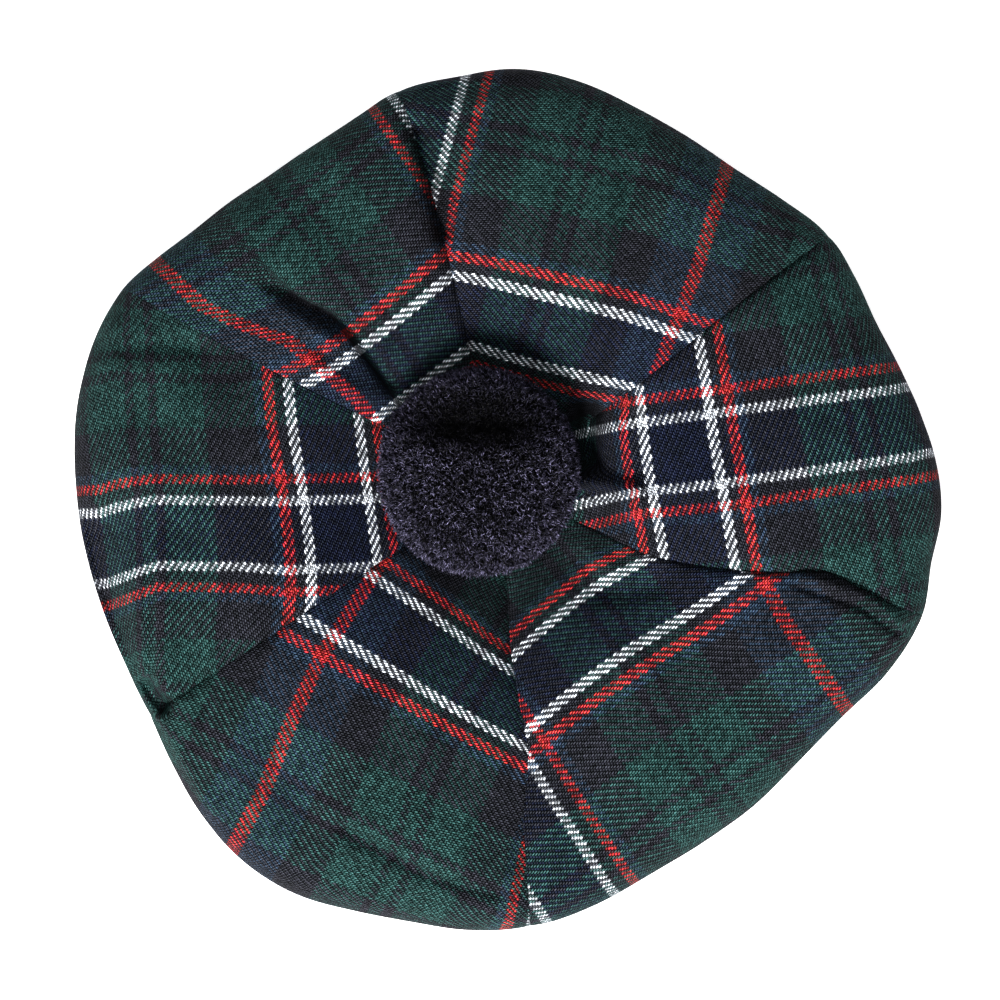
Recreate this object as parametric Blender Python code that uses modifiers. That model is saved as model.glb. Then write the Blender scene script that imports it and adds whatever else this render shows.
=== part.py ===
"""Six-gore tam o' shanter lying crown up on its headband.

Six cloth gores run from under the pompom out over the crown, round the rolled rim and back
underneath to the headband. Sizes are in millimetres in the tables and become metres in MM.
Angles are in degrees, counterclockwise seen from above, from the hat's right-hand side.
"""
import math

import bmesh
import bpy
import numpy as np
from mathutils import Vector

MM = 0.001
CROWN_CENTRE = (-2.2, 4.9)      # where the gores meet, from the middle of the outline
CLOTH = 1.8                     # thickness of the twill gores
SEAM_GAP = 0.3                  # clear line between two gores
RIM_MEAN = 140.0                # mean radius of the rim, which the profile table is drawn for
PUFF = 2.4                      # how far the middle of a gore stands above its seams
COLUMNS = 10                    # faces across a gore
ROWS = 30                       # faces along a gore

HEADBAND_INNER = 91.0           # a 57 cm head
HEADBAND_OUTER = 94.0
HEADBAND_HEIGHT = 28.0
HEADBAND_ROUNDING = 0.6
HEADBAND_STEPS = 72

POMPOM_CENTRE = (-7.4, 4.5, 42.0)   # it leans to the upper left of the crown centre
POMPOM_RADII = (34.3, 35.6, 27.0)
POMPOM_POINTS = 1300
LOCK_COUNT = 240                # plush locks over the ball
LOCK_HEIGHT = 1.9
# The dent runs sideways over the top: its middle and half length across, and where it begins,
# is deepest and ends from the near side to the far one, as shares of the radius.
DENT_MIDDLE, DENT_REACH, DENT_DEPTH = -0.07, 0.66, 0.33
DENT_NEAR, DENT_BOTTOM, DENT_FAR = 0.06, 0.55, 0.84

# The section of a gore from the crown centre to the headband. follow is how much of the rim's
# own outline the station takes; valley is how much of a seam's depth it has; puff likewise.
#           radius  height  follow  valley  puff
PROFILE = (
    (3.0, 14.8, 0.00, 0.00, 0.00),      # under the pompom
    (12.0, 14.8, 0.00, 0.10, 0.00),
    (23.0, 15.6, 0.00, 0.50, 0.05),     # floor of the hollow
    (33.0, 20.2, 0.00, 0.90, 0.20),
    (41.0, 26.4, 0.00, 1.00, 0.35),
    (49.0, 31.6, 0.00, 1.00, 0.50),     # wall of the hollow
    (58.0, 36.4, 0.00, 1.00, 0.70),
    (68.0, 40.6, 0.00, 1.00, 0.85),
    (80.0, 43.2, 0.05, 1.00, 1.00),
    (93.0, 44.2, 0.20, 1.00, 1.10),     # ridge of the crown
    (106.0, 43.8, 0.45, 1.00, 1.10),
    (118.0, 42.6, 0.75, 1.00, 1.00),
    (128.0, 40.0, 0.92, 0.75, 0.70),
    (134.6, 35.8, 1.00, 0.35, 0.40),
    (138.4, 29.0, 1.00, 0.12, 0.20),
    (139.6, 20.0, 1.00, 0.05, 0.10),    # rim
    (138.4, 10.6, 1.00, 0.05, 0.10),
    (134.6, 4.0, 0.97, 0.10, 0.00),
    (128.0, 0.6, 0.85, 0.10, 0.00),
    (118.5, 0.6, 0.55, 0.10, 0.00),     # flattened on the surface
    (108.0, 4.6, 0.25, 0.10, 0.00),
    (99.5, 11.5, 0.05, 0.05, 0.00),
    (95.6, 18.5, 0.00, 0.00, 0.00),
    (94.6, 25.5, 0.00, 0.00, 0.00),     # sewn to the headband
)

# A row for each seam: where it runs at four radii, how deep its valley is there, and how wide
# the valley is on its clockwise and counterclockwise sides.
#     inner  corner  middle  rim    depths at the same radii  cw_width  ccw_width
SEAMS = (
    (36.2, 37.3, 37.4, 37.2, 1.0, 2.6, 6.5, 5.0, 4.5, 6.5),
    (102.9, 103.0, 103.5, 104.4, 4.5, 6.5, 7.5, 6.0, 6.0, 6.5),
    (153.4, 153.4, 153.0, 152.5, 2.0, 3.0, 1.6, 1.5, 5.0, 6.0),
    (212.4, 213.2, 213.2, 213.2, 2.0, 2.8, 2.8, 4.0, 3.0, 2.6),
    (273.4, 276.0, 273.8, 273.8, 6.6, 3.6, 5.5, 6.5, 7.0, 4.5),
    (334.4, 340.9, 344.0, 341.1, 1.0, 4.0, 4.5, 6.0, 1.4, 6.5),
)
SEAM_RADII = (52.0, 88.0, 112.0, 137.0)

# A row for each gore, from the seam on its clockwise side: the rim's radius there and at each
# eighth of the gore, and how far the gore's crown stands above or below the rest.
GORES = (
    (138.2, 134.5, 131.9, 132.5, 134.6, 137.9, 139.3, 137.3, 0.0),
    (136.2, 133.3, 130.8, 129.8, 129.9, 131.5, 134.0, 138.3, -0.8),
    (142.5, 144.6, 144.6, 143.4, 142.0, 140.6, 139.8, 139.4, 0.4),
    (140.9, 144.8, 149.4, 152.9, 153.2, 150.9, 149.4, 149.5, -0.6),
    (148.4, 144.4, 139.8, 137.4, 136.7, 136.1, 137.5, 142.7, 0.0),
    (147.8, 147.9, 147.8, 145.7, 142.1, 138.9, 137.0, 137.7, 1.2),
)

# Soft folds in the cloth, each a straight stretch seen from above, from the crown centre. A
# negative depth is a ridge.
#        gore  x0      y0     x1      y1      depth  width
FOLDS = (
    (0, 33.0, 42.0, 43.0, 100.0, 2.6, 7.0),
    (0, 68.0, 48.0, 48.0, 33.0, -2.4, 6.0),
    (1, -78.0, 66.0, -54.0, 53.0, 5.0, 5.5),        # deep tuck across the second gore
    (1, -54.0, 53.0, -38.0, 33.0, 6.0, 5.5),
    (2, -134.0, 46.0, -100.0, 46.5, 2.0, 6.0),
    (2, -131.0, -12.0, -129.0, -66.0, 6.0, 9.0),    # trough outside the crease of the third gore
    (3, -113.0, -90.0, -102.0, -112.0, 3.0, 6.0),
    (3, -53.0, -114.0, -2.0, -136.0, 2.0, 5.5),
    (4, 27.0, -20.0, 40.0, -31.0, -3.0, 5.0),
    (4, 103.0, -40.0, 127.0, -52.0, -2.4, 4.5),     # lip beside the last seam
    (5, 128.0, -33.0, 137.0, -36.5, 3.0, 4.5),
    (5, 68.0, 48.0, 48.0, 33.0, -2.4, 6.0),
    (5, 30.0, 21.0, 30.0, 9.0, 5.0, 5.0),           # pit beside the pompom
    (5, 32.0, -1.0, 46.0, -3.0, -6.0, 6.0),
)


def smooth_rows(table, position):
    """Rows of a table read at fractional positions along a smooth curve through them."""
    rows = np.asarray(table, dtype=float)
    position = np.clip(position, 0.0, len(rows) - 1.0)
    low = np.minimum(position.astype(int), len(rows) - 2)
    part = (position - low)[..., None]
    before, here = rows[np.maximum(low - 1, 0)], rows[low]
    after, beyond = rows[low + 1], rows[np.minimum(low + 2, len(rows) - 1)]
    bend = 2.0 * before - 5.0 * here + 4.0 * after - beyond
    twist = 3.0 * (here - after) + beyond - before
    return here + 0.5 * part * (after - before + part * (bend + part * twist))


def seam_angle(seam, radius):
    """Angle of a seam line at a radius, in radians; a whole turn is added past the last seam."""
    row = SEAMS[seam % len(SEAMS)]
    turn = 360.0 * (seam // len(SEAMS))
    return np.radians(np.interp(radius, SEAM_RADII, row[:4]) + turn)


def rim_radius(gore, across):
    """Outline radius of a gore; across runs from 0 to 1 between its seams."""
    before, here = GORES[gore - 1], GORES[gore]
    after = GORES[(gore + 1) % len(GORES)]
    points = [before[7]] + list(here[:8]) + [after[0], after[1]]
    return smooth_rows([[p] for p in points], 1.0 + 8.0 * across)[..., 0]


def distance_to_stretch(x, y, row):
    """Distance in plan from points to a straight stretch of a fold."""
    start, run = np.array(row[1:3]), np.array(row[3:5]) - np.array(row[1:3])
    share = ((x - start[0]) * run[0] + (y - start[1]) * run[1]) / float(run @ run)
    share = np.clip(share, 0.0, 1.0)
    return np.hypot(x - start[0] - share * run[0], y - start[1] - share * run[1])


def gore_surface(gore, across, along):
    """Points of a gore's outer face. across: 0 to 1 between the seams. along: profile station."""
    radius, height, follow, valley, puff = np.moveaxis(smooth_rows(PROFILE, along), -1, 0)
    step = 0.02
    ahead, behind = smooth_rows(PROFILE, along + step), smooth_rows(PROFILE, along - step)
    slope_r, slope_z = ahead[..., 0] - behind[..., 0], ahead[..., 1] - behind[..., 1]
    length = np.hypot(slope_r, slope_z)
    normal_r, normal_z = -slope_z / length, slope_r / length

    radius = radius + follow * (rim_radius(gore, across) - RIM_MEAN)
    low = seam_angle(gore, radius) + 0.5 * SEAM_GAP / radius
    high = seam_angle(gore + 1, radius) - 0.5 * SEAM_GAP / radius
    angle = low + (high - low) * across
    from_low, from_high = radius * (angle - low), radius * (high - angle)

    low_row, high_row = SEAMS[gore], SEAMS[(gore + 1) % len(SEAMS)]
    low_depth = valley * np.interp(radius, SEAM_RADII, low_row[4:8])
    high_depth = valley * np.interp(radius, SEAM_RADII, high_row[4:8])
    push = (PUFF + GORES[gore][8]) * puff * (1.0 - (2.0 * across - 1.0) ** 2)
    push = push - low_depth * np.exp(-from_low / low_row[9])
    push = push - high_depth * np.exp(-from_high / high_row[8])
    x, y = radius * np.cos(angle), radius * np.sin(angle)
    hollow, ridge = np.zeros_like(push), np.zeros_like(push)
    for row in FOLDS:
        if row[0] == gore:
            fold = abs(row[5]) * np.exp(-(distance_to_stretch(x, y, row) / row[6]) ** 2)
            if row[5] > 0.0:
                hollow = np.maximum(hollow, fold)
            else:
                ridge = np.maximum(ridge, fold)
    upper = np.clip(14.5 - along, 0.0, 1.0)

    radius = radius + normal_r * push
    height = height + normal_z * push + upper * (ridge - hollow)
    height = np.maximum(height, np.where(along < 14.0, 3.0, 0.4))
    return np.stack([radius * np.cos(angle), radius * np.sin(angle), height], axis=-1)


def finish(name, mesh, material, parent, collection):
    """Links a mesh as a named object with its material, under the crown's empty."""
    part = bpy.data.objects.new(name, mesh)
    part.parent = parent
    mesh.materials.append(material)
    collection.objects.link(part)
    return part


def make_material(name, colour, roughness):
    material = bpy.data.materials.new(name)
    material.use_nodes = True
    shader = material.node_tree.nodes["Principled BSDF"]
    shader.inputs["Base Color"].default_value = (*colour, 1.0)
    shader.inputs["Roughness"].default_value = roughness
    shader.inputs["Metallic"].default_value = 0.0
    material.diffuse_color = (*colour, 1.0)
    return material


def make_gore(gore, material, parent, collection):
    """A grid bent over the crown and rim, then thickened inward to the cloth's thickness."""
    form = bmesh.new()
    bmesh.ops.create_grid(form, x_segments=COLUMNS, y_segments=ROWS, size=1.0)
    flat = np.array([vertex.co[:2] for vertex in form.verts])
    across = 0.5 + 0.5 * np.sin(0.5 * math.pi * flat[:, 0])     # finer columns beside the seams
    along = 0.5 * (1.0 + flat[:, 1]) * (len(PROFILE) - 1)
    for vertex, point in zip(form.verts, gore_surface(gore, across, along)):
        vertex.co = Vector(point * MM)
    bmesh.ops.reverse_faces(form, faces=form.faces)
    mesh = bpy.data.meshes.new("gore_%d" % (gore + 1))
    form.to_mesh(mesh)
    form.free()
    part = finish(mesh.name, mesh, material, parent, collection)
    shell = part.modifiers.new("cloth", "SOLIDIFY")
    shell.thickness = CLOTH * MM
    shell.offset = -1.0
    shell.use_even_offset = False
    mesh.shade_smooth()
    return part


def make_headband(material, parent, collection):
    """A turned band with eased edges; it stands on its lower edge and carries the gores."""
    r = HEADBAND_ROUNDING
    corners = ((HEADBAND_INNER, HEADBAND_HEIGHT - r), (HEADBAND_INNER + r, HEADBAND_HEIGHT),
               (HEADBAND_OUTER - r, HEADBAND_HEIGHT), (HEADBAND_OUTER, HEADBAND_HEIGHT - r),
               (HEADBAND_OUTER, r), (HEADBAND_OUTER - r, 0.0),
               (HEADBAND_INNER + r, 0.0), (HEADBAND_INNER, r))
    outline = bmesh.new()
    ring = [outline.verts.new((x * MM, 0.0, z * MM)) for x, z in corners]
    for first, second in zip(ring, ring[1:] + ring[:1]):
        outline.edges.new((first, second))
    mesh = bpy.data.meshes.new("headband")
    outline.to_mesh(mesh)
    outline.free()
    part = finish(mesh.name, mesh, material, parent, collection)
    turn = part.modifiers.new("turn", "SCREW")
    turn.axis = "Z"
    turn.angle = 2.0 * math.pi
    turn.steps = HEADBAND_STEPS
    turn.render_steps = HEADBAND_STEPS
    turn.use_merge_vertices = True
    turn.merge_threshold = 0.0001
    return part


def spiral_directions(count):
    """Evenly spread directions over a sphere, along a golden-angle spiral."""
    index = np.arange(count) + 0.5
    height = 1.0 - 2.0 * index / count
    angle = index * math.pi * (3.0 - math.sqrt(5.0))
    ring = np.sqrt(1.0 - height ** 2)
    return np.stack([ring * np.cos(angle), ring * np.sin(angle), height], axis=-1)


def dent_share(directions):
    """How far into the dent each direction is, from 0 outside it to 1 at its bottom."""
    dent = np.interp(directions[:, 1], (DENT_NEAR, DENT_BOTTOM, DENT_FAR), (0.0, 1.0, 0.0))
    dent = dent * dent * (3.0 - 2.0 * dent) * np.clip(2.0 * directions[:, 2], 0.0, 1.0)
    return dent * np.exp(-((directions[:, 0] - DENT_MIDDLE) / DENT_REACH) ** 4)


def make_pompom(material, parent, collection):
    """A ball of short plush locks fused together, with a long dent across its top."""
    directions = spiral_directions(POMPOM_POINTS)
    locks = spiral_directions(LOCK_COUNT)
    nearest = np.max(directions @ locks.T, axis=1)
    reach = math.sqrt(4.0 / LOCK_COUNT)                   # a lock's half width in radians
    crown = 1.0 - np.clip(np.arccos(np.clip(nearest, -1.0, 1.0)) / reach, 0.0, 1.0) ** 2
    size = np.array(POMPOM_RADII) - LOCK_HEIGHT
    points = directions * size * (1.0 - DENT_DEPTH * dent_share(directions))[:, None]
    points = points + directions * (LOCK_HEIGHT * crown)[:, None]

    ball = bmesh.new()
    for direction in directions:
        ball.verts.new(Vector(direction))
    bmesh.ops.convex_hull(ball, input=ball.verts)
    for vertex, point in zip(ball.verts, points):
        vertex.co = Vector((point + np.array(POMPOM_CENTRE)) * MM)
    bmesh.ops.recalc_face_normals(ball, faces=ball.faces)
    mesh = bpy.data.meshes.new("pompom")
    ball.to_mesh(mesh)
    ball.free()
    mesh.shade_smooth()
    return finish(mesh.name, mesh, material, parent, collection)


def build():
    for old in list(bpy.data.objects):
        bpy.data.objects.remove(old, do_unlink=True)
    collection = bpy.data.collections.new("tam_o_shanter")
    bpy.context.scene.collection.children.link(collection)
    centre = bpy.data.objects.new("crown_centre", None)
    centre.location = (CROWN_CENTRE[0] * MM, CROWN_CENTRE[1] * MM, 0.0)
    collection.objects.link(centre)

    tartan = make_material("green_tartan_twill", (0.020, 0.062, 0.055), 0.88)
    band = make_material("dark_band_twill", (0.016, 0.018, 0.030), 0.90)
    plush = make_material("dark_plush", (0.010, 0.010, 0.016), 0.95)
    for gore in range(len(GORES)):
        make_gore(gore, tartan, centre, collection)
    make_headband(band, centre, collection)
    make_pompom(plush, centre, collection)


build()
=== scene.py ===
"""A six-gore tartan tam o' shanter with a dark plush pompom, lying crown up.

Sizes are in millimetres and degrees, measured from the crown centre, counterclockwise seen from
above. MM turns them into Blender's metres.
"""
import math

import bmesh
import bpy
import numpy as np
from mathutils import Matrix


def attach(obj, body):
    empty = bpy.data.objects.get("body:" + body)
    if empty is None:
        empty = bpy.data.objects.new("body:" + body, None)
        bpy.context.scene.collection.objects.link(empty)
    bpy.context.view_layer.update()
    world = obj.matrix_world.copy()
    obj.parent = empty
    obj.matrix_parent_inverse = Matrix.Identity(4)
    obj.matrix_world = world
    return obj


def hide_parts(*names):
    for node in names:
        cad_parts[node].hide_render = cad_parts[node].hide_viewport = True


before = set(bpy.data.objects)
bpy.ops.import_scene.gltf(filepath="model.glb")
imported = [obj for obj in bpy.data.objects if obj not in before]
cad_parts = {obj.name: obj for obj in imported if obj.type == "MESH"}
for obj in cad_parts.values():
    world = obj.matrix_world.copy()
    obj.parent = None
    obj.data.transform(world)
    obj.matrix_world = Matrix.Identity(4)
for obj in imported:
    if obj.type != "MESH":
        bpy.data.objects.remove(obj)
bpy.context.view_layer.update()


# ---------------------------------------------------------------------------------------------
# The setting. Pale seamless paper lies under the hat; from under its rim outward the paper has a
# painted glow, which washes out the hat's shadow. A soft round light stands towards the bottom
# left of the picture, a wider and weaker one hangs overhead, and the camera looks straight down.
MM = 0.001
PICTURE_WIDTH = 335.0           # what the whole frame shows, at PICTURE_HEIGHT above the paper
PICTURE_HEIGHT = 15.0
PICTURE_CENTRE = (-2.5, 0.0)
CAMERA_HEIGHT = 5000.0
SENSOR_WIDTH = 36.0
PAPER_WIDTH = 12000.0
PAPER_COLOUR = (0.86, 0.86, 0.86)
PAPER_GRAIN_SHADE = 0.985       # of the dark grains in the paper
PAPER_GRAIN_SCALE = 900.0
GLOW_START, GLOW_FULL = 105.0, 150.0    # how far out the paper starts to shine, and fully does
GLOW_STRENGTH = 0.55
SKY_COLOUR, SKY_STRENGTH = (0.90, 0.95, 1.0), 0.15
NOISE_ENDS = (0.3, 0.7)         # nearly all the values of a noise lie between them
#          x       y       z       width   power  colour
LAMPS = (
    (-340.0, -1340.0, 1780.0, 800.0, 76.0, (1.0, 0.99, 0.97)),
    (0.0, 300.0, 2300.0, 1200.0, 18.0, (1.0, 1.0, 1.0)),
)


class Shade:
    """A socket of the material being built. Sums on it add Math nodes to that material."""
    tree = None

    def __init__(self, socket):
        self.socket = socket

    @classmethod
    def node(cls, kind, settings=None, inputs=None, output=0):
        """One output of a new node, made with these settings and values or links."""
        made = cls.tree.nodes.new(kind)
        for name, value in (settings or {}).items():
            if name == "stops":
                fill_ramp(made.color_ramp, value)
            else:
                setattr(made, name, value)
        for name, value in (inputs or {}).items():
            if isinstance(value, Shade):
                cls.tree.links.new(value.socket, made.inputs[name])
            else:
                made.inputs[name].default_value = value
        return cls(made.outputs[output])

    def _sum(self, operation, *values):
        inputs = {place: value for place, value in enumerate(values)}
        return Shade.node("ShaderNodeMath", {"operation": operation}, inputs)

    def __add__(self, other):
        return self._sum("ADD", self, other)

    def __radd__(self, other):
        return self._sum("ADD", other, self)

    def __sub__(self, other):
        return self._sum("SUBTRACT", self, other)

    def __rsub__(self, other):
        return self._sum("SUBTRACT", other, self)

    def __mul__(self, other):
        return self._sum("MULTIPLY", self, other)

    def __rmul__(self, other):
        return self._sum("MULTIPLY", other, self)

    def __truediv__(self, other):
        return self._sum("DIVIDE", self, other)

    def __rtruediv__(self, other):
        return self._sum("DIVIDE", other, self)

    def __floor__(self):
        return self._sum("FLOOR", self)

    def cos(self):
        return self._sum("COSINE", self)

    def max(self, other):
        return self._sum("MAXIMUM", self, other)

    def mirrored(self, half):
        """The value going up to half and back down to nothing, over and over."""
        return self._sum("PINGPONG", self, half)

    def spread(self, low, high, new_low=0.0, new_high=1.0):
        """The value carried smoothly from one range to another, never past its ends."""
        return Shade.node("ShaderNodeMapRange", {"interpolation_type": "SMOOTHSTEP"},
                          {0: self, 1: low, 2: high, 3: new_low, 4: new_high})

    def lighting(self, colour):
        """A colour made lighter or darker by this value."""
        return Shade.node("ShaderNodeVectorMath", {"operation": "SCALE"},
                          {0: colour, "Scale": self})


def mixed(share, first, second):
    """The first colour with a share of the second one in it."""
    return Shade.node("ShaderNodeMix", {"data_type": "RGBA"}, {0: share, 6: first, 7: second}, 2)


def fill_ramp(ramp, stops):
    """Sets a ramp's stops, (place, colour) each, with flat steps between them."""
    ramp.interpolation = "CONSTANT"
    while len(ramp.elements) > 1:
        ramp.elements.remove(ramp.elements[-1])
    for number, (place, colour) in enumerate(stops):
        stop = ramp.elements[0] if number == 0 else ramp.elements.new(place)
        stop.position = place
        stop.color = (*colour, 1.0)


def begin_material(name, roughness, sheen=0.0, specular=0.3):
    """A new material whose nodes the next sums go to. Returns it with its shader."""
    material = bpy.data.materials.new(name)
    material.use_nodes = True
    Shade.tree = material.node_tree
    shader = material.node_tree.nodes["Principled BSDF"]
    shader.inputs["Roughness"].default_value = roughness
    shader.inputs["Specular IOR Level"].default_value = specular
    shader.inputs["Sheen Weight"].default_value = sheen
    shader.inputs["Sheen Roughness"].default_value = 0.5
    return material, shader


def feed(shader, name, value):
    """Links a value of the material being built to one of its shader's sockets."""
    Shade.tree.links.new(value.socket, shader.inputs[name])


surface_mesh = bpy.data.meshes.new("pale_surface")
half = 0.5 * PAPER_WIDTH * MM
surface_mesh.from_pydata([(-half, -half, 0), (half, -half, 0), (half, half, 0), (-half, half, 0)],
                         [], [(0, 1, 2, 3)])
surface = bpy.data.objects.new("pale_surface", surface_mesh)
bpy.context.collection.objects.link(surface)
paper, paper_shader = begin_material("pale_paper", 0.9)
grain = Shade.node("ShaderNodeTexNoise", {}, {"Scale": PAPER_GRAIN_SCALE, "Detail": 3.0})
place_on_paper = Shade.node("ShaderNodeTexCoord", {}, {}, 3)
distance_out = Shade.node("ShaderNodeVectorMath", {"operation": "LENGTH"}, {0: place_on_paper}, 1)
# Painted glow: the paper shines by itself from under the rim outward, washing out the hat's shadow.
feed(paper_shader, "Emission Color", mixed(
    distance_out.spread(GLOW_START * MM, GLOW_FULL * MM), (0.0, 0.0, 0.0, 1.0), (1.0, 1.0, 1.0, 1.0)))
feed(paper_shader, "Base Color", mixed(
    grain.spread(*NOISE_ENDS), (*[PAPER_GRAIN_SHADE * share for share in PAPER_COLOUR], 1.0),
    (*PAPER_COLOUR, 1.0)))
paper_shader.inputs["Emission Strength"].default_value = GLOW_STRENGTH
surface_mesh.materials.append(paper)

for number, (x, y, z, width, power, colour) in enumerate(LAMPS):
    lamp = bpy.data.lights.new("soft_light_%d" % (number + 1), "AREA")
    lamp.shape, lamp.size, lamp.energy, lamp.color = "DISK", width * MM, power, colour
    stand = bpy.data.objects.new(lamp.name, lamp)
    stand.location = (x * MM, y * MM, z * MM)
    stand.rotation_euler = (-stand.location).to_track_quat("-Z", "Y").to_euler()
    bpy.context.collection.objects.link(stand)

sky = bpy.data.worlds.new("pale_studio")
sky.use_nodes = True
sky.node_tree.nodes["Background"].inputs["Color"].default_value = (*SKY_COLOUR, 1.0)
sky.node_tree.nodes["Background"].inputs["Strength"].default_value = SKY_STRENGTH
bpy.context.scene.world = sky
bpy.context.scene.view_settings.view_transform = "Standard"
bpy.context.scene.view_settings.look = "High Contrast"

camera_data = bpy.data.cameras.new("camera")
camera_data.sensor_width = SENSOR_WIDTH
camera_data.lens = SENSOR_WIDTH * (CAMERA_HEIGHT - PICTURE_HEIGHT) / PICTURE_WIDTH
camera_data.clip_end = 4.0 * CAMERA_HEIGHT * MM
camera = bpy.data.objects.new("camera", camera_data)
camera.location = (PICTURE_CENTRE[0] * MM, PICTURE_CENTRE[1] * MM, CAMERA_HEIGHT * MM)
bpy.context.collection.objects.link(camera)
bpy.context.scene.camera = camera


# ---------------------------------------------------------------------------------------------
# The gores. Six pieces of tartan twill are sewn edge to edge into a flat round bag. Each runs
# from under the pompom over the crown, round the rim and back underneath to the headband, puffs
# up between its seams and falls in soft folds.
CROWN_CENTRE = (-2.2, 4.9)
CLOTH = 1.6                     # thickness
RIM_MEAN = 140.0                # mean radius of the rim, which the profile is drawn for
PUFF = 2.4                      # how far the middle of a gore stands above its seams
COLUMNS, ROWS = 116, 270        # faces across a gore and along it

# The section of a gore from the crown centre to the headband. follow is how much of the rim's
# own outline the station takes; valley is how much of a seam's depth it has; puff likewise.
#           radius  height  follow  valley  puff
PROFILE = (
    (3.0, 14.8, 0.00, 0.00, 0.00),
    (12.0, 14.8, 0.00, 0.10, 0.00),
    (23.0, 15.6, 0.00, 0.50, 0.05),
    (33.0, 20.2, 0.00, 0.90, 0.20),
    (41.0, 26.4, 0.00, 1.00, 0.35),
    (49.0, 31.6, 0.00, 1.00, 0.50),
    (58.0, 36.4, 0.00, 1.00, 0.70),
    (68.0, 40.6, 0.00, 1.00, 0.85),
    (80.0, 43.2, 0.05, 1.00, 1.00),
    (93.0, 44.2, 0.20, 1.00, 1.10),
    (106.0, 43.8, 0.45, 1.00, 1.10),
    (118.0, 42.6, 0.75, 1.00, 1.00),
    (128.0, 40.0, 0.92, 0.75, 0.70),
    (134.6, 35.8, 1.00, 0.35, 0.40),
    (138.4, 29.0, 1.00, 0.12, 0.20),
    (139.6, 20.0, 1.00, 0.05, 0.10),
    (138.4, 10.6, 1.00, 0.05, 0.10),
    (134.6, 4.0, 0.97, 0.10, 0.00),
    (128.0, 0.6, 0.85, 0.10, 0.00),
    (118.5, 0.6, 0.55, 0.10, 0.00),
    (108.0, 4.6, 0.25, 0.10, 0.00),
    (99.5, 11.5, 0.05, 0.05, 0.00),
    (95.6, 18.5, 0.00, 0.00, 0.00),
    (94.6, 25.5, 0.00, 0.00, 0.00),
)
RIM_STATION = 12.4              # where the crown turns down into the rim
TURN_STATION = 14.0             # where the top of the cloth ends and its underside begins
FOLD_STATION = 14.5             # where the folds have died out
LOWEST_TOP, LOWEST_UNDERSIDE = 3.0, 0.4     # above the paper

# A row for each seam: where it runs at four radii, how deep its valley is there, and how wide
# the valley is on its clockwise and counterclockwise sides.
#     inner  corner  middle  rim      depths at the same radii  widths
SEAMS = (
    ((36.2, 37.3, 37.4, 37.2), (1.0, 2.2, 3.2, 3.6), (1.2, 2.0)),
    ((102.9, 103.0, 103.5, 104.4), (4.5, 6.5, 8.5, 6.5), (5.0, 2.6)),
    ((153.4, 153.4, 153.0, 152.5), (2.0, 3.0, 1.6, 1.5), (5.0, 6.0)),
    ((212.4, 213.2, 213.2, 213.2), (2.0, 2.8, 2.8, 7.0), (2.4, 2.4)),
    ((273.4, 276.0, 273.8, 273.8), (6.6, 3.6, 5.5, 6.5), (7.0, 4.5)),
    ((334.4, 340.9, 345.2, 342.9), (1.0, 3.4, 2.2, 2.4), (0.8, 3.0)),
)
SEAM_RADII = (52.0, 88.0, 112.0, 137.0)

# A row for each gore, from the seam on its clockwise side: the rim's radius there and at each
# eighth of the gore, and how far the gore's crown stands above or below the rest.
GORES = (
    (138.2, 134.5, 131.9, 132.5, 134.6, 137.9, 139.8, 137.9, 0.0),
    (136.9, 133.3, 130.8, 129.8, 129.9, 131.5, 134.0, 138.3, -0.8),
    (143.0, 144.6, 144.6, 143.4, 142.0, 140.6, 139.8, 139.4, 0.4),
    (140.9, 144.8, 149.4, 152.9, 153.2, 150.9, 149.4, 149.5, -0.6),
    (148.4, 144.4, 139.8, 137.4, 136.7, 136.1, 138.2, 144.0, 0.0),
    (148.1, 146.8, 147.8, 145.7, 142.1, 138.9, 137.0, 137.7, 1.2),
)

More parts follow.
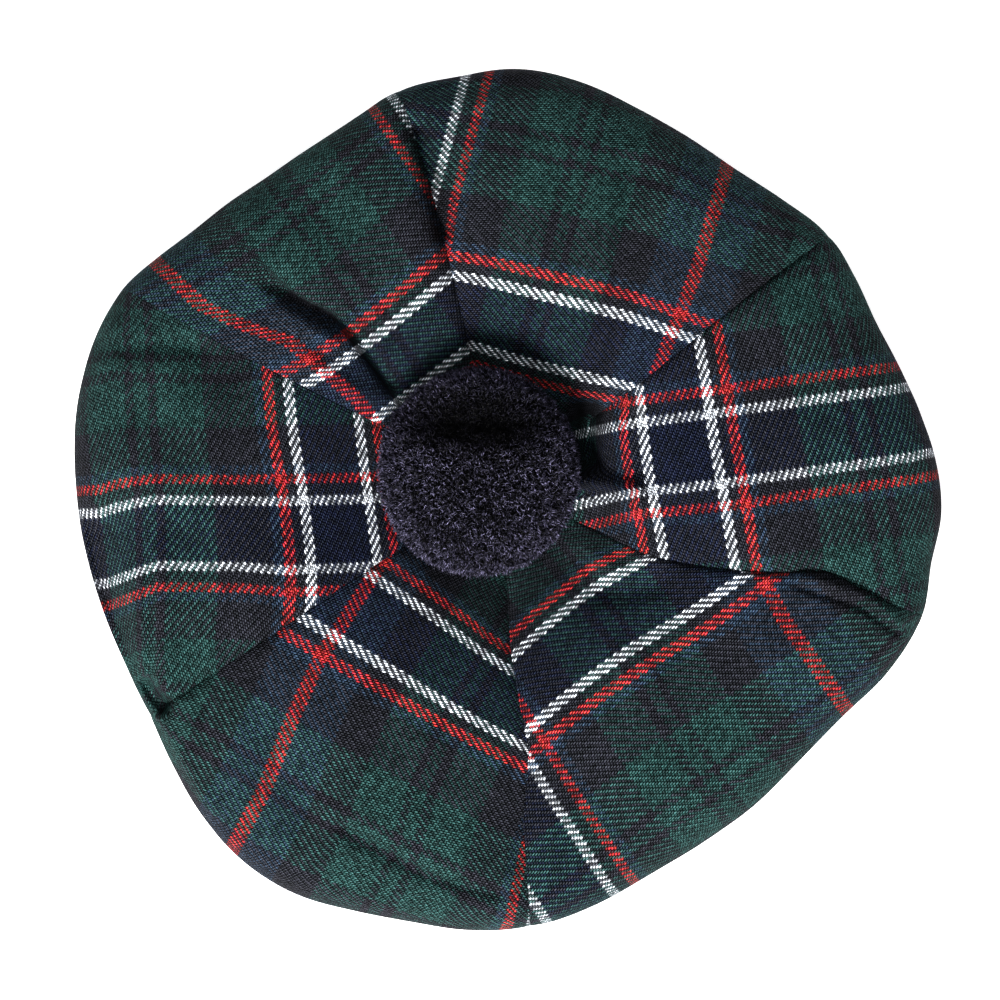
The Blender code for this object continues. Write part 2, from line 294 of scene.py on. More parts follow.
# Soft folds and creases, each a straight stretch seen from above. A negative depth is a ridge,
# and a fold beside a seam belongs to both of its gores.
#    gores  x0      y0     x1      y1     depth  width
FOLDS = (
    ((0,), 31.0, 40.0, 39.0, 66.0, 3.6, 4.5),
    ((0,), 39.0, 66.0, 45.0, 104.0, 3.0, 5.0),
    ((0,), -24.0, 131.0, 16.0, 134.5, 2.4, 3.0),
    ((0, 1), -19.4, 84.2, -24.1, 108.7, 7.0, 2.4),
    ((0, 1), -24.1, 108.7, -27.4, 120.1, 7.0, 2.4),
    ((0, 5), 68.0, 48.0, 48.0, 33.0, -2.4, 6.0),
    ((0, 5), 29.5, 23.0, 29.5, 9.0, 15.0, 3.8),
    ((1,), -77.0, 67.5, -61.0, 58.6, 4.5, 2.7),
    ((1,), -61.0, 58.6, -49.0, 51.6, 7.0, 2.6),
    ((1,), -49.0, 51.6, -37.0, 34.0, 8.0, 3.0),
    ((1,), -64.0, 41.0, -46.0, 29.0, -4.0, 4.0),
    ((1,), -73.0, 57.5, -58.0, 48.5, -4.0, 3.2),
    ((2,), -134.0, 46.0, -100.0, 46.5, 2.0, 3.5),
    ((2,), -133.0, -16.0, -129.0, -66.0, 9.0, 8.5),
    ((2, 3), -118.0, -66.0, -113.5, -74.0, 9.0, 2.6),
    ((2,), -117.0, -29.0, -117.0, -70.0, 2.8, 2.2),
    ((2,), -113.0, -22.0, -112.0, -66.0, -1.8, 4.0),
    ((3,), -115.0, -88.0, -102.0, -112.0, 4.0, 3.6),
    ((3,), -113.0, -80.0, -97.0, -107.0, -2.0, 3.0),
    ((3,), -53.0, -114.0, -25.0, -129.5, 3.0, 2.4),
    ((3,), -25.0, -129.5, -2.0, -136.0, 3.0, 2.4),
    ((4,), 36.0, -35.0, 54.0, -34.0, 4.0, 5.0),
    ((4,), 27.0, -20.0, 40.0, -31.0, -3.0, 4.5),
    ((4,), 100.0, -30.0, 122.0, -37.0, -2.2, 2.2),
    ((4,), 122.0, -37.0, 133.0, -45.5, -2.2, 2.2),
    ((4,), 99.0, -33.5, 121.0, -41.0, 2.6, 1.5),
    ((4,), 121.0, -41.0, 132.0, -49.0, 2.6, 1.5),
    ((5,), 27.0, 1.5, 46.0, -3.0, -9.0, 5.0),
    ((5,), 42.0, 17.0, 42.0, 2.0, -3.0, 5.0),
)

# Slow waves in the soft cloth: how long and how high.
SLACK_WAVES = ((70.0, 0.45), (46.0, 0.35), (30.0, 0.22), (19.0, 0.12), (12.0, 0.06))
WAVES_OF_A_LENGTH = 3
SLACK_SEED = 11
SLACK_MARGIN = 6.0              # beside a seam, where they rise from nothing

# How the tartan lies on each gore, in four parts: the direction that its middle points; how far
# out three crosswise lines run at five places across it, which are the white line nearer the
# crown centre, the outer red line and the pair of narrow black ones; which two lengthwise stripes
# it is told by, in the pattern; and at some distances out, where they run on the gore, counted
# counterclockwise from its middle.
LINE_PLACES = (-50.0, -25.0, 0.0, 25.0, 50.0)
LAYS = (
    (74.6,
     ((43.2, 42.9, 42.0, 42.5, 42.9),
      (70.4, 72.4, 71.9, 70.7, 67.8),
      (109.2, 113.2, 113.1, 111.7, 110.6)),
     (-107.9, -19.1),
     ((50, -39.9, 37.5), (74, -42.7, 38.5), (87, -43.9, 40.2), (123, -44.6, 40.4))),
    (123.7,
     ((45.6, 44.6, 43.2, 41.5, 40.2),
      (75.4, 74.4, 71.5, 70.4, 72.4),
      (117.9, 118.3, 115.1, 113.6, 116.2)),
     (19.1, 107.9),
     ((50, -34.5, 54.3), (75, -34.8, 54.0), (126, -34.2, 54.6))),
    (183.3,
     ((46.9, 46.2, 44.6, 42.5, 41.5),
      (75.7, 75.1, 72.5, 71.5, 74.4),
      (117.9, 117.8, 117.3, 118.6, 120.6)),
     (-19.1, 19.1),
     ((50, -5.5, 31.8), (73, -6.4, 31.5), (88, -7.0, 29.1), (116, -8.9, 27.1),
      (127, -7.9, 30.8), (134, -6.2, 32.8))),
    (241.5,
     ((44.9, 46.9, 49.2, 52.3, 53.6),
      (77.4, 78.1, 78.6, 79.1, 78.7),
      (121.8, 122.8, 123.4, 123.4, 122.6)),
     (-107.9, -19.1),
     ((47, -23.1, 62.0), (79, -25.5, 62.8), (102, -24.0, 64.5), (127, -20.9, 72.0))),
    (307.9,
     ((49.6, 46.9, 46.2, 49.6, 52.3),
      (76.7, 75.7, 76.9, 79.4, 80.4),
      (121.9, 121.4, 122.4, 124.3, 126.0)),
     (19.1, 107.9),
     ((60, -39.5, 50.8), (75, -40.9, 50.2), (93, -43.2, 46.9), (127, -46.2, 45.2))),
    (11.9,
     ((48.2, 48.7, 49.6, 51.9, 53.6),
      (77.4, 78.6, 79.6, 80.9, 81.7),
      (121.3, 122.2, 121.6, 121.7, 120.3)),
     (-19.1, 19.1),
     ((44, -19.1, 18.8), (72, -22.3, 16.6), (136, -26.5, 11.6))),
)
# The tuck in one gore swallows cloth: at each distance out, where it is and how much.
TUCKED_GORE, TUCK_SOFTNESS = 1, 0.25
TUCK = ((50, 13.4, 30.5), (79, 15.1, 22.1), (90, 21.8, 13.7), (105, 25.0, 4.7), (126, 30.0, 0.0))

# Half of the tartan, from the middle of the band between the white lines to the single red line;
# the other half mirrors it. Widths are those of the lengthwise and the crosswise threads.
#        colour  lengthwise  crosswise
STRIPES = (
    ("midnight", 9.7, 9.9),
    ("white", 3.35, 3.35),
    ("black", 4.4, 3.8),
    ("red", 3.35, 3.95),
    ("navy", 3.2, 3.3),
    ("black", 12.9, 16.4),
    ("green", 16.4, 16.1),
    ("black", 3.0, 3.0),
    ("green", 3.9, 4.7),
    ("black", 3.0, 3.0),
    ("green", 15.6, 16.1),
    ("black", 13.4, 16.0),
    ("navy", 13.0, 13.6),
    ("red", 2.7, 2.1),
)
LINE_STRIPES = (-11.6, 19.05, 62.2)     # the three lines of LAYS, crosswise in the pattern
YARNS = {
    "midnight": (0.007, 0.010, 0.030),
    "navy": (0.027, 0.045, 0.074),
    "black": (0.020, 0.0195, 0.027),
    "green": (0.0225, 0.062, 0.058),
    "red": (0.41, 0.030, 0.033),
    "white": (0.62, 0.65, 0.70),
}

# The weave is a 2/2 twill: each thread floats over two others and dives under the next two. A
# float is a bead, round across its thread and longer along it. The crosswise threads are beaten
# up tight and stand over the lengthwise ones, whose beads are shorter. Shifts, lengths and
# widths are in threads.
LENGTHWISE_PITCH = 0.83         # between threads that run from the centre to the rim
CROSSWISE_PITCH = 0.55
TWILL_REPEAT = 4.0
SKEW = 0.4                      # how far the floats of a rib lean
DRAW_SHIFT = 0.37               # keeps a thread off a whole number where its chance is drawn
#    column of STRIPES, pitch, shift, half length, half width, height
BEADS = (
    (1, LENGTHWISE_PITCH, -2.0, 1.28, 0.48, 0.94),
    (2, CROSSWISE_PITCH, 1.0, 1.60, 0.46, 1.0),
)
STRAY = 0.10                    # how far a thread wanders
FUZZ = 0.30                     # how unevenly the lengthwise beads stand up
UNEVEN_ENDS = (0.25, 0.75)      # of the noises for both
CROSSING_SHARE = 0.06           # of the crossing yarn's colour that is mixed in
# Painted sheen: a pale grey mixed into the tops of the floats.
PAINTED_SHEEN_COLOUR, PAINTED_SHEEN_SHARE = (0.075, 0.085, 0.092, 1.0), 0.28
PAINTED_SHEEN_ENDS = (0.35, 0.95)       # the heights on a float where the painted sheen starts and is thickest
BEAD_TOP = 0.95
BEAD_PAINTED_SHADES = (0.05, 1.90)      # painted shade at the side of a float and painted highlight at its top
FLOAT_SHADES = (0.50, 1.50)     # from the darkest float to the palest
FLOAT_HUES = (0.485, 0.515)     # half a turn is the yarn's own
WOOL_SHADES = (0.60, 1.40)
PATCH_SHADES = (0.94, 1.06)
FURROW_ENDS = (0.40, 1.0)       # from the edge of a furrow to its bottom
FURROW_PAINTED_SHADES = (1.04, 0.50)    # painted shade, off and in the furrow along each rib of the twill
WOOL_HEIGHT, WEAVE_DEPTH = 0.25, 0.30


def bumped(height, depth, strength=1.0):
    """A normal raised by a height from 0 to 1, depth millimetres high."""
    return Shade.node("ShaderNodeBump", {}, {"Strength": strength, "Distance": depth * MM,
                                             "Height": height})


def places_in(layer):
    """The place kept in a UV layer of the mesh, and its two parts."""
    place = Shade.node("ShaderNodeUVMap", {"uv_map": layer})
    return place, *(Shade.node("ShaderNodeSeparateXYZ", {}, {"Vector": place}, part)
                    for part in (0, 1))


def unevenness(place, scale, detail, roughness=0.5):
    """Flat cloth's unevenness: a noise of so many changes a millimetre."""
    return Shade.node("ShaderNodeTexNoise", {"noise_dimensions": "2D"}, {
        "Vector": place, "Scale": scale, "Detail": detail, "Roughness": roughness})


def smooth_rows(table, position):
    """Rows of a table read at fractional positions along a smooth curve through them."""
    rows = np.asarray(table, dtype=float)
    position = np.clip(position, 0.0, len(rows) - 1.0)
    low = np.minimum(position.astype(int), len(rows) - 2)
    part = (position - low)[..., None]
    before, here = rows[np.maximum(low - 1, 0)], rows[low]
    after, beyond = rows[low + 1], rows[np.minimum(low + 2, len(rows) - 1)]
    bend = 2.0 * before - 5.0 * here + 4.0 * after - beyond
    twist = 3.0 * (here - after) + beyond - before
    return here + 0.5 * part * (after - before + part * (bend + part * twist))


def seam_angle(seam, radius):
    """Angle of a seam line at a radius, in radians; a whole turn is added past the last seam."""
    turns, row = divmod(seam, len(SEAMS))
    return np.radians(np.interp(radius, SEAM_RADII, SEAMS[row][0]) + 360.0 * turns)


def seam_valley(seam, side, radius, distance):
    """Depth of a seam's valley this far from it, on its clockwise (0) or other (1) side."""
    _, depths, widths = SEAMS[seam % len(SEAMS)]
    return np.interp(radius, SEAM_RADII, depths) * np.exp(-distance / widths[side])


def rim_radius(gore, across):
    """Outline radius of a gore; across runs from 0 to 1 between its seams."""
    before, here, after = (GORES[(gore + step) % len(GORES)][:-1] for step in (-1, 0, 1))
    radii = (before[-1], *here, after[0], after[1])
    return smooth_rows([[radius] for radius in radii], 1.0 + len(here) * across)[..., 0]


def distance_to_stretch(x, y, x0, y0, x1, y1):
    """Distance in plan from points to a straight stretch."""
    run_x, run_y = x1 - x0, y1 - y0
    share = ((x - x0) * run_x + (y - y0) * run_y) / (run_x * run_x + run_y * run_y)
    share = np.clip(share, 0.0, 1.0)
    return np.hypot(x - x0 - share * run_x, y - y0 - share * run_y)


def slack(x, y):
    """Height of the slow waves at these points."""
    waves = np.random.default_rng(SLACK_SEED)
    total = np.zeros_like(x)
    for length, height in SLACK_WAVES:
        for _ in range(WAVES_OF_A_LENGTH):
            turn, phase = waves.uniform(0.0, 2.0 * math.pi, 2)
            total += height * np.sin(
                2.0 * math.pi * (x * math.cos(turn) + y * math.sin(turn)) / length + phase)
    return total


def gore_surface(gore, across, along):
    """Points of a gore's outer face. across: 0 to 1 between the seams. along: profile station."""
    radius, height, follow, valley, puff = np.moveaxis(smooth_rows(PROFILE, along), -1, 0)
    step = 0.02
    ahead, behind = smooth_rows(PROFILE, along + step), smooth_rows(PROFILE, along - step)
    slope_r, slope_z = ahead[..., 0] - behind[..., 0], ahead[..., 1] - behind[..., 1]
    length = np.hypot(slope_r, slope_z)
    normal_r, normal_z = -slope_z / length, slope_r / length

    radius = radius + follow * (rim_radius(gore, across) - RIM_MEAN)
    low, high = seam_angle(gore, radius), seam_angle(gore + 1, radius)
    angle = low + (high - low) * across
    from_low, from_high = radius * (angle - low), radius * (high - angle)

    push = (PUFF + GORES[gore][-1]) * puff * (1.0 - (2.0 * across - 1.0) ** 2)
    push = push - valley * seam_valley(gore, 1, radius, from_low)
    push = push - valley * seam_valley(gore + 1, 0, radius, from_high)
    x, y = radius * np.cos(angle), radius * np.sin(angle)
    away = np.minimum(1.0, np.minimum(from_low, from_high) / SLACK_MARGIN)
    push = push + np.minimum(puff, 1.0) * slack(x, y) * away

    # Where folds meet, the deepest one shows, and they are pressed into the top of the cloth only.
    hollow, ridge = np.zeros_like(push), np.zeros_like(push)
    for gores, *stretch, depth, width in FOLDS:
        if gore in gores:
            fold = abs(depth) * np.exp(-(distance_to_stretch(x, y, *stretch) / width) ** 2)
            if depth > 0.0:
                hollow = np.maximum(hollow, fold)
            else:
                ridge = np.maximum(ridge, fold)
    upper = np.clip(FOLD_STATION - along, 0.0, 1.0)

    radius = radius + normal_r * push
    height = height + normal_z * push + upper * (ridge - hollow)
    height = np.maximum(height, np.where(along < TURN_STATION, LOWEST_TOP, LOWEST_UNDERSIDE))
    return np.stack([radius * np.cos(angle), radius * np.sin(angle), height], axis=-1)


def places_along(rows, out):
    """Both places of a table's rows, read at these distances out."""
    distances, first, second = np.transpose(rows)
    return np.interp(out, distances, first), np.interp(out, distances, second)


def cloth_place(gore, points):
    """Where each point of a gore's grid lies in the flat cloth: across and along the pattern."""
    middle, lines, stripes, rows = LAYS[gore]
    turn = math.radians(middle)
    out = points[..., 0] * math.cos(turn) + points[..., 1] * math.sin(turn)
    side = points[..., 1] * math.cos(turn) - points[..., 0] * math.sin(turn)
    place_a, place_b = places_along(rows, out)
    across = stripes[0] + (side - place_a) * (stripes[1] - stripes[0]) / (place_b - place_a)
    if gore == TUCKED_GORE:
        edge, swallowed = places_along(TUCK, out)
        across = across + swallowed / (1.0 + np.exp((edge - side) / TUCK_SOFTNESS))

    # Between the lines the cloth is shared out evenly. Nearer the crown centre, and beyond them
    # round the rim and underneath, it is measured along the surface.
    position = (side - LINE_PLACES[0]) / (LINE_PLACES[1] - LINE_PLACES[0])
    near, red, far = (smooth_rows([[value] for value in line], position)[..., 0] for line in lines)
    at_near, at_red, at_far = LINE_STRIPES
    along = np.where(out < red, at_near + (out - near) * (at_red - at_near) / (red - near),
                     at_red + (out - red) * (at_far - at_red) / (far - red))
    run = np.hypot(np.diff(out, axis=0), np.diff(points[..., 2], axis=0))
    length = np.concatenate([np.zeros((1, out.shape[1])), np.cumsum(run, axis=0)])
    steep = round(RIM_STATION * ROWS / (len(PROFILE) - 1))
    for column in range(out.shape[1]):
        first = int(np.argmax(out[:, column] > near[:, column]))
        last = min(int(np.argmax(out[:, column] > far[:, column])) or ROWS, steep)
        along[:first, column] = (along[first, column] + length[:first, column]
                                 - length[first, column])
        along[last:, column] = along[last, column] + length[last:, column] - length[last, column]
    return across, along


def keep_places(mesh, layer, places):
    """Keeps the places of a mesh's vertices in a UV layer of it."""
    corners = np.empty(len(mesh.loops), dtype=np.int32)
    mesh.loops.foreach_get("vertex_index", corners)
    flat = places[corners].astype(np.float32).ravel()
    mesh.uv_layers.new(name=layer).data.foreach_set("uv", flat)


def grid_mesh(name, points, places):
    """A mesh from a grid of points in millimetres and their places in the flat cloth."""
    rows, columns = points.shape[:2]
    index = np.arange(rows * columns).reshape(rows, columns)
    faces = np.stack([index[:-1, :-1], index[1:, :-1], index[1:, 1:], index[:-1, 1:]], axis=-1)
    mesh = bpy.data.meshes.new(name)
    mesh.from_pydata(points.reshape(-1, 3) * MM, [], faces.reshape(-1, 4).tolist())
    keep_places(mesh, "cloth", np.stack([place.reshape(-1) for place in places], axis=-1))
    mesh.shade_smooth()
    return mesh


def link_piece(mesh, *nodes, slot):
    """Puts a finished mesh in the scene in place of its solids, on the part's one body."""
    piece = bpy.data.objects.new(mesh.name, mesh)
    bpy.context.collection.objects.link(piece)
    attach(piece, "root")
    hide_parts(*nodes)
    return piece


def sett_stops(column):
    """Ramp stops of half the tartan for one direction of thread, and its width."""
    total = sum(row[column] for row in STRIPES)
    stops, place = [], 0.0
    for row in STRIPES:
        stops.append((place / total, YARNS[row[0]]))
        place += row[column]
    return stops, total


def floats(position, place, shift):
    """The floats of the threads counted by place, which cross those counted by position.

    Each float is pulled askew, towards square with the rib it lies in. Returns the place along
    the float, from -2 to 2 threads, that across its thread, from -0.5 to 0.5, the thread's number
    and the rib's number.
    """
    travel = position - place + (0.5 - shift)
    rib = math.floor(travel / TWILL_REPEAT)
    run = travel - rib * TWILL_REPEAT - 0.5 * TWILL_REPEAT
    askew = place + run * SKEW
    thread = math.floor(askew)
    return run, askew - thread - 0.5, thread, rib


def make_tartan():
    """Every thread has its own colour, and every float its own depth of it."""
    material, shader = begin_material("tartan_twill", 0.85, sheen=0.02, specular=0.05)
    place, across, along = places_in("cloth")
    fibre = unevenness(place, 1.6, 3.0, 0.65)
    fuzz = unevenness(place, 4.5, 2.0, 0.6)
    stray = fibre.spread(*UNEVEN_ENDS, -STRAY, STRAY)
    across = across / LENGTHWISE_PITCH + stray
    along = along / CROSSWISE_PITCH + stray

    heights, colours = [], []
    for (counted, crossed), bead in zip(((across, along), (along, across)), BEADS):
        column, pitch, shift, half_length, half_width, height = bead
        run, side, number, rib = floats(crossed, counted, shift)
        side, run = side / half_width, run / half_length
        heights.append((1.0 - side * side - run * run) * height)
        stops, total = sett_stops(column)
        spot = ((number + 0.5) * pitch).mirrored(total) / total
        yarn = Shade.node("ShaderNodeValToRGB", {"stops": stops}, {"Fac": spot})
        own = Shade.node("ShaderNodeCombineXYZ", {}, {0: number + DRAW_SHIFT, 1: rib})
        chance = Shade.node("ShaderNodeTexWhiteNoise", {"noise_dimensions": "2D"}, {"Vector": own})
        colours.append(Shade.node("ShaderNodeHueSaturation", {}, {
            "Hue": fibre.spread(*NOISE_ENDS, *FLOAT_HUES), "Saturation": 1.0,
            "Value": chance.spread(0.0, 1.0, *FLOAT_SHADES), "Color": yarn}))
    heights[0] = heights[0] + fuzz.spread(*UNEVEN_ENDS, -FUZZ, FUZZ)

    # The tops of the floats get a painted sheen, pale and grey, over their painted highlight. Of two
    # threads that cross, the brighter one shows.
    threads = []
    for height, colour, other in zip(heights, colours, reversed(colours)):
        colour = mixed(CROSSING_SHARE, colour, other)
        colour = mixed(height.spread(*PAINTED_SHEEN_ENDS, 0.0, PAINTED_SHEEN_SHARE), colour, PAINTED_SHEEN_COLOUR)
        # Painted shade at the sides of each float and a painted highlight on its top.
        threads.append(height.spread(0.0, BEAD_TOP, *BEAD_PAINTED_SHADES).lighting(colour))
    cloth = Shade.node("ShaderNodeVectorMath", {"operation": "MAXIMUM"},
                       {0: threads[0], 1: threads[1]})

    wool = unevenness(place, 3.4, 2.0)
    patch = unevenness(place, 0.05, 2.0)
    # Painted shade in the furrow along each rib of the twill; the wool and the patches are uneven
    # tone.
    furrow = ((across - along + 0.5) * (0.5 * math.pi)).cos()
    light = wool.spread(*NOISE_ENDS, *WOOL_SHADES) * patch.spread(*NOISE_ENDS, *PATCH_SHADES)
    light = light * furrow.spread(*FURROW_ENDS, *FURROW_PAINTED_SHADES)
    feed(shader, "Base Color", light.lighting(cloth))
    raised = heights[0].max(heights[1]).max(0.0) + wool * WOOL_HEIGHT
    feed(shader, "Normal", bumped(raised, WEAVE_DEPTH))
    return material


tartan = make_tartan()
turns = np.linspace(-0.5 * math.pi, 0.5 * math.pi, COLUMNS + 1)
across, along = np.meshgrid(0.5 + 0.5 * np.sin(turns),          # finer beside the seams
                            np.linspace(0.0, len(PROFILE) - 1.0, ROWS + 1))
for gore in range(len(GORES)):
    points = gore_surface(gore, across, along)
    places = cloth_place(gore, points)
    points[..., :2] += CROWN_CENTRE
    mesh = grid_mesh("tartan_gore_%d" % (gore + 1), points, places)
    mesh.materials.append(tartan)
    piece = link_piece(mesh, "gore_%d" % (gore + 1), slot="tartan_twill")
    cloth = piece.modifiers.new("cloth", "SOLIDIFY")
    cloth.thickness, cloth.offset = CLOTH * MM, -1.0


# ---------------------------------------------------------------------------------------------
# The headband. A band of plain dark twill is doubled over and sewn inside the opening, upright,
# so that the hat stands on its lower edge.
HEADBAND_INNER, HEADBAND_OUTER, HEADBAND_HEIGHT = 91.0, 94.0, 28.0
BAND_ROUNDING = 1.1
BAND_STEPS, BAND_SECTION = 400, 44      # faces round the opening and round the band's section
CORNER_STEPS = 6
BAND_WAVES, BAND_WAVE = 9.0, 0.25       # how many there are round it, and how far they reach
BAND_GIRTH = 62.0                       # of its section
BAND_PITCHES = (0.8, 0.6)               # of its ribs, across the band and along it
BAND_RIB_PAINTED_SHADES, BAND_FLUFF_SHADES = (1.15, 0.60), (0.75, 1.25)
BAND_FLUFF_HEIGHT, BAND_DEPTH, BAND_BUMP = 0.3, 0.2, 0.8
BAND_COLOUR = (0.020, 0.022, 0.036)


def rounded_section(low, high, height, rounding, count):
    """Points round a band's section, with eased edges, evenly spaced along it."""
    corners = []
    for x, z, start in ((high - rounding, height - rounding, 0.0),
                        (low + rounding, height - rounding, 0.5),
                        (low + rounding, rounding, 1.0),
                        (high - rounding, rounding, 1.5)):
        for step in range(CORNER_STEPS + 1):
            turn = math.pi * (start + 0.5 * step / CORNER_STEPS)
            corners.append((x + rounding * math.cos(turn), z + rounding * math.sin(turn)))
    loop = np.array(corners + corners[:1])
    run = np.concatenate([[0.0], np.cumsum(np.hypot(*np.diff(loop, axis=0).T))])
    spots = np.linspace(0.0, run[-1], count, endpoint=False)
    return np.stack([np.interp(spots, run, side) for side in loop.T], axis=-1)


section = rounded_section(HEADBAND_INNER, HEADBAND_OUTER, HEADBAND_HEIGHT, BAND_ROUNDING,
                          BAND_SECTION)
section = np.concatenate([section, section[:1]])
turns = np.linspace(0.0, 2.0 * math.pi, BAND_STEPS + 1)
radius = section[:, 0] + BAND_WAVE * np.sin(BAND_WAVES * turns)[:, None]
band_points = np.stack([CROWN_CENTRE[0] + radius * np.cos(turns)[:, None],
                        CROWN_CENTRE[1] + radius * np.sin(turns)[:, None],
                        np.tile(section[:, 1], (BAND_STEPS + 1, 1))], axis=-1)
band_places = np.meshgrid(np.linspace(0.0, BAND_GIRTH, BAND_SECTION + 1), turns * HEADBAND_OUTER)
mesh = grid_mesh("twill_headband", band_points, band_places)
mesh.flip_normals()

band_twill, shader = begin_material("dark_band_twill", 0.88, sheen=0.10, specular=0.2)
place, across, along = places_in("cloth")
furrow = 1.0 - 2.0 * (across / BAND_PITCHES[0] + along / BAND_PITCHES[1]).mirrored(0.5)
fluff = unevenness(place, 3.0, 3.0)
# Painted light on the tops of the ribs and painted shade in the furrows between them; the fluff is
# uneven tone.
light = furrow.spread(0.0, 1.0, *BAND_RIB_PAINTED_SHADES) * fluff.spread(*NOISE_ENDS, *BAND_FLUFF_SHADES)
feed(shader, "Base Color", light.lighting(BAND_COLOUR))
raised = 1.0 - furrow + fluff * BAND_FLUFF_HEIGHT
feed(shader, "Normal", bumped(raised, BAND_DEPTH, BAND_BUMP))
mesh.materials.append(band_twill)
link_piece(mesh, "headband", slot="band_twill")


# ---------------------------------------------------------------------------------------------
# The pompom. A ball of short curly plush, nearly black, is sewn down in the middle of the crown,
# so tightly that a dent runs across its top. It leans to one side.
POMPOM_CENTRE = (-7.4, 4.5, 42.0)
POMPOM_RADII = (34.3, 35.6, 27.0)
LOCK_COUNT, LOCK_HEIGHT = 240, 1.9

# The dent, in shares of the ball's radii: its middle and reach along it, its depth, and where it
# starts, is deepest and ends from the near side to the far one.
DENT_MIDDLE, DENT_REACH, DENT_DEPTH = -0.04, 0.70, 0.25
DENT_NEAR, DENT_BOTTOM, DENT_FAR = 0.12, 0.55, 0.84
DENT_PAINTED_SHADE = 0.6                # painted shade: how much of the strands' paleness is lost at its bottom

# A patch of painted shade on the pile over the dent, where it is seen end on: the middle of the
# patch, its reach and how dark it is, and how much that differs from lock to lock.
SHADED_PATCH_MIDDLE, SHADED_PATCH_REACH, SHADED_PATCH_DARKNESS = (-0.02, 0.50), (0.66, 0.30), 0.72
SHADED_PATCH_SPREAD, LOCK_SHADE = 0.55, 0.18

# The strands are curled ribbons that stand on a bare ball, in every direction.
STRANDS, STRAND_BENDS = 42000, 2
STRAND_LENGTH, STRAND_WIDTH = 2.1, 0.42
STRAND_LENGTHS = (0.75, 1.15)   # of the shortest and the longest, in shares of the length
STRAND_LOOSENESS = 0.80
STRAND_CURLS, STRAND_TURNS = (0.25, 0.6), (2.5, 5.5)
STRAND_TAPER, STRAND_TWIST = 0.45, 1.5
STRAND_VERTICES = 2 * (STRAND_BENDS + 1)
ROOT_SINK = 0.72 * STRAND_LENGTH        # under the tips of the locks
BALL_POINTS, BALL_SINK = 6000, 2.6
STRAND_SEED, PALENESS_SEED, LOCK_SEED = 5, 8, 9

PLUSH_COLOUR = (0.160, 0.152, 0.228)
PALENESS = (0.20, 2.3)          # of the darkest strand, and what the palest has on top of it
# Painted shade towards the strands' roots and a painted highlight at their tips:
ROOT_SHARE, TIP_SHARE = 0.10, 0.85
ROOT_PAINTED_SHADE, TIP_PAINTED_HIGHLIGHT = 0.05, 1.30


def spiral_directions(count):
    """Evenly spread directions over a sphere, along a golden-angle spiral."""
    index = np.arange(count) + 0.5
    height = 1.0 - 2.0 * index / count
    angle = index * math.pi * (3.0 - math.sqrt(5.0))
    ring = np.sqrt(1.0 - height ** 2)
    return np.stack([ring * np.cos(angle), ring * np.sin(angle), height], axis=-1)


def dent_share(directions):
    """How far into the dent each direction is, from 0 outside it to 1 at its bottom."""
    dent = np.interp(directions[:, 1], (DENT_NEAR, DENT_BOTTOM, DENT_FAR), (0.0, 1.0, 0.0))
    dent = dent * dent * (3.0 - 2.0 * dent) * np.clip(2.0 * directions[:, 2], 0.0, 1.0)
    return dent * np.exp(-((directions[:, 0] - DENT_MIDDLE) / DENT_REACH) ** 4)


def shaded_patch_share(directions):
    """How far each direction lies in the patch of painted shade, from 0 outside it to 1."""
    spread = (directions[:, :2] - SHADED_PATCH_MIDDLE) / SHADED_PATCH_REACH
    return np.exp(-np.sum(spread ** 2, axis=1) ** 1.5) * (directions[:, 2] > 0.0)


def plush_surface(directions, sink):
    """Points on the ball of locks in these directions, sink millimetres under its tips."""
    nearest = np.max(directions @ spiral_directions(LOCK_COUNT).T, axis=1)
    reach = math.sqrt(4.0 / LOCK_COUNT)
    crown = 1.0 - np.clip(np.arccos(np.clip(nearest, -1.0, 1.0)) / reach, 0.0, 1.0) ** 2
    dent = dent_share(directions)
    size = np.array(POMPOM_RADII) - LOCK_HEIGHT - sink
    points = directions * size * (1.0 - DENT_DEPTH * dent)[:, None]
    return points + directions * (LOCK_HEIGHT * crown)[:, None]


def make_plush():
    """Each strand has its own depth of colour, with painted shade towards its root and a painted
    highlight at its tip.
    """
    material, shader = begin_material("dark_plush", 0.85, sheen=0.05, specular=0.10)
    _, pale, share = places_in("strand")
    light = PALENESS[0] + PALENESS[1] * pale * pale
    light = light * share.spread(ROOT_SHARE, TIP_SHARE, ROOT_PAINTED_SHADE, TIP_PAINTED_HIGHLIGHT)
    feed(shader, "Base Color", light.lighting(PLUSH_COLOUR))
    return material


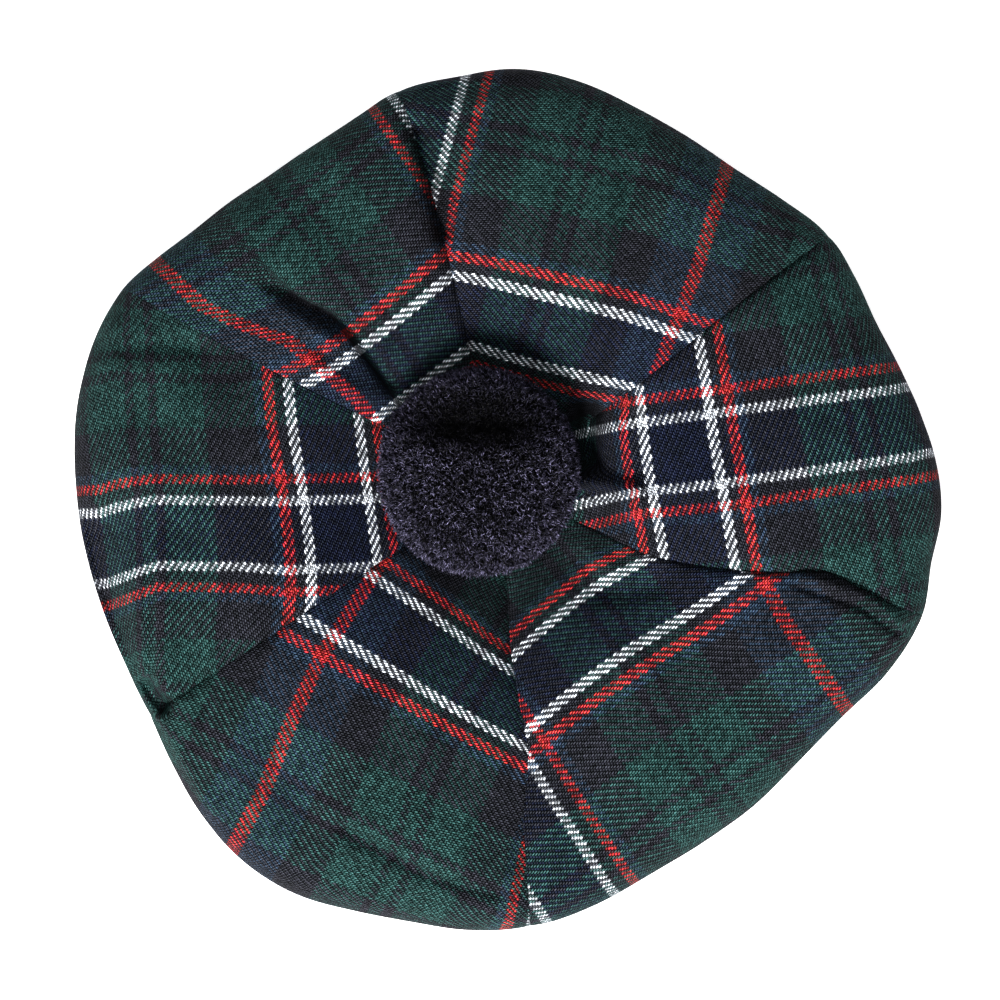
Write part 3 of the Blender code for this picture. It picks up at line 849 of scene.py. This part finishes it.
def strand_ribbons(roots, aims):
    """Short curling ribbons from roots along aims: vertices and faces, in millimetres."""
    chance = np.random.default_rng(STRAND_SEED)
    count = len(roots)
    heading = aims + chance.normal(0.0, STRAND_LOOSENESS, (count, 3))
    heading /= np.linalg.norm(heading, axis=1)[:, None]
    side = np.cross(heading, chance.normal(0.0, 1.0, (count, 3)))
    side /= np.linalg.norm(side, axis=1)[:, None]
    other = np.cross(heading, side)
    length = STRAND_LENGTH * chance.uniform(*STRAND_LENGTHS, count)
    curl = chance.uniform(*STRAND_CURLS, count)
    turn = chance.uniform(*STRAND_TURNS, count)
    phase = chance.uniform(0.0, 2.0 * math.pi, count)
    rows = []
    for bend in range(STRAND_BENDS + 1):
        share = bend / STRAND_BENDS
        swing = phase + turn * share
        centre = (roots + heading * (length * share)[:, None]
                  + side * (curl * share * np.cos(swing))[:, None]
                  + other * (curl * share * np.sin(swing))[:, None])
        width = STRAND_WIDTH * (1.0 - STRAND_TAPER * share)
        twist = STRAND_TWIST * swing
        edge = side * np.cos(twist)[:, None] + other * np.sin(twist)[:, None]
        rows.append(np.stack([centre - 0.5 * width * edge, centre + 0.5 * width * edge], axis=1))
    first = np.arange(count)[:, None] * STRAND_VERTICES + 2 * np.arange(STRAND_BENDS)
    faces = np.stack([first, first + 1, first + 3, first + 2], axis=-1)
    return np.stack(rows, axis=1).reshape(-1, 3), faces.reshape(-1, 4)


def ball_faces(directions):
    """Faces that join points on a ball, seen in these directions, to their neighbours."""
    ball = bmesh.new()
    for direction in directions:
        ball.verts.new(direction)
    bmesh.ops.convex_hull(ball, input=ball.verts)
    ball.verts.index_update()
    faces = [[vertex.index for vertex in face.verts] for face in ball.faces]
    ball.free()
    return faces


def strand_places(directions):
    """How pale each strand is and how far up it each of its vertices is, both lowered by painted
    shade.
    """
    lock = np.argmax(directions @ spiral_directions(LOCK_COUNT).T, axis=1)
    chance = np.random.default_rng(LOCK_SEED).uniform(0.0, 1.0, LOCK_COUNT)[lock]
    # Painted shade over the patch, varied from lock to lock, then each lock's own tone.
    lit = 1.0 - SHADED_PATCH_DARKNESS * shaded_patch_share(directions) * (1.0 - SHADED_PATCH_SPREAD * (1.0 - chance))
    lit = lit * (1.0 - LOCK_SHADE * (1.0 - chance))
    pale = np.random.default_rng(PALENESS_SEED).uniform(0.0, 1.0, STRANDS)
    # Painted shade in the dent.
    pale = pale * (1.0 - DENT_PAINTED_SHADE * dent_share(directions))
    strand, vertex = np.divmod(np.arange(STRANDS * STRAND_VERTICES), STRAND_VERTICES)
    return np.stack([(pale * lit)[strand], lit[strand] * (vertex // 2) / STRAND_BENDS], axis=-1)


directions, ball = spiral_directions(STRANDS), spiral_directions(BALL_POINTS)
ribbons, ribbon_faces = strand_ribbons(plush_surface(directions, ROOT_SINK), directions)
points = np.concatenate([plush_surface(ball, BALL_SINK), ribbons])
middle = np.array(POMPOM_CENTRE) + (*CROWN_CENTRE, 0.0)
mesh = bpy.data.meshes.new("plush_pompom")
mesh.from_pydata(points * MM + middle * MM, [],
                 ball_faces(ball) + (ribbon_faces + BALL_POINTS).tolist())
keep_places(mesh, "strand", np.concatenate([np.zeros((BALL_POINTS, 2)), strand_places(directions)]))
mesh.materials.append(make_plush())
mesh.shade_smooth()
link_piece(mesh, "pompom", slot="plush")
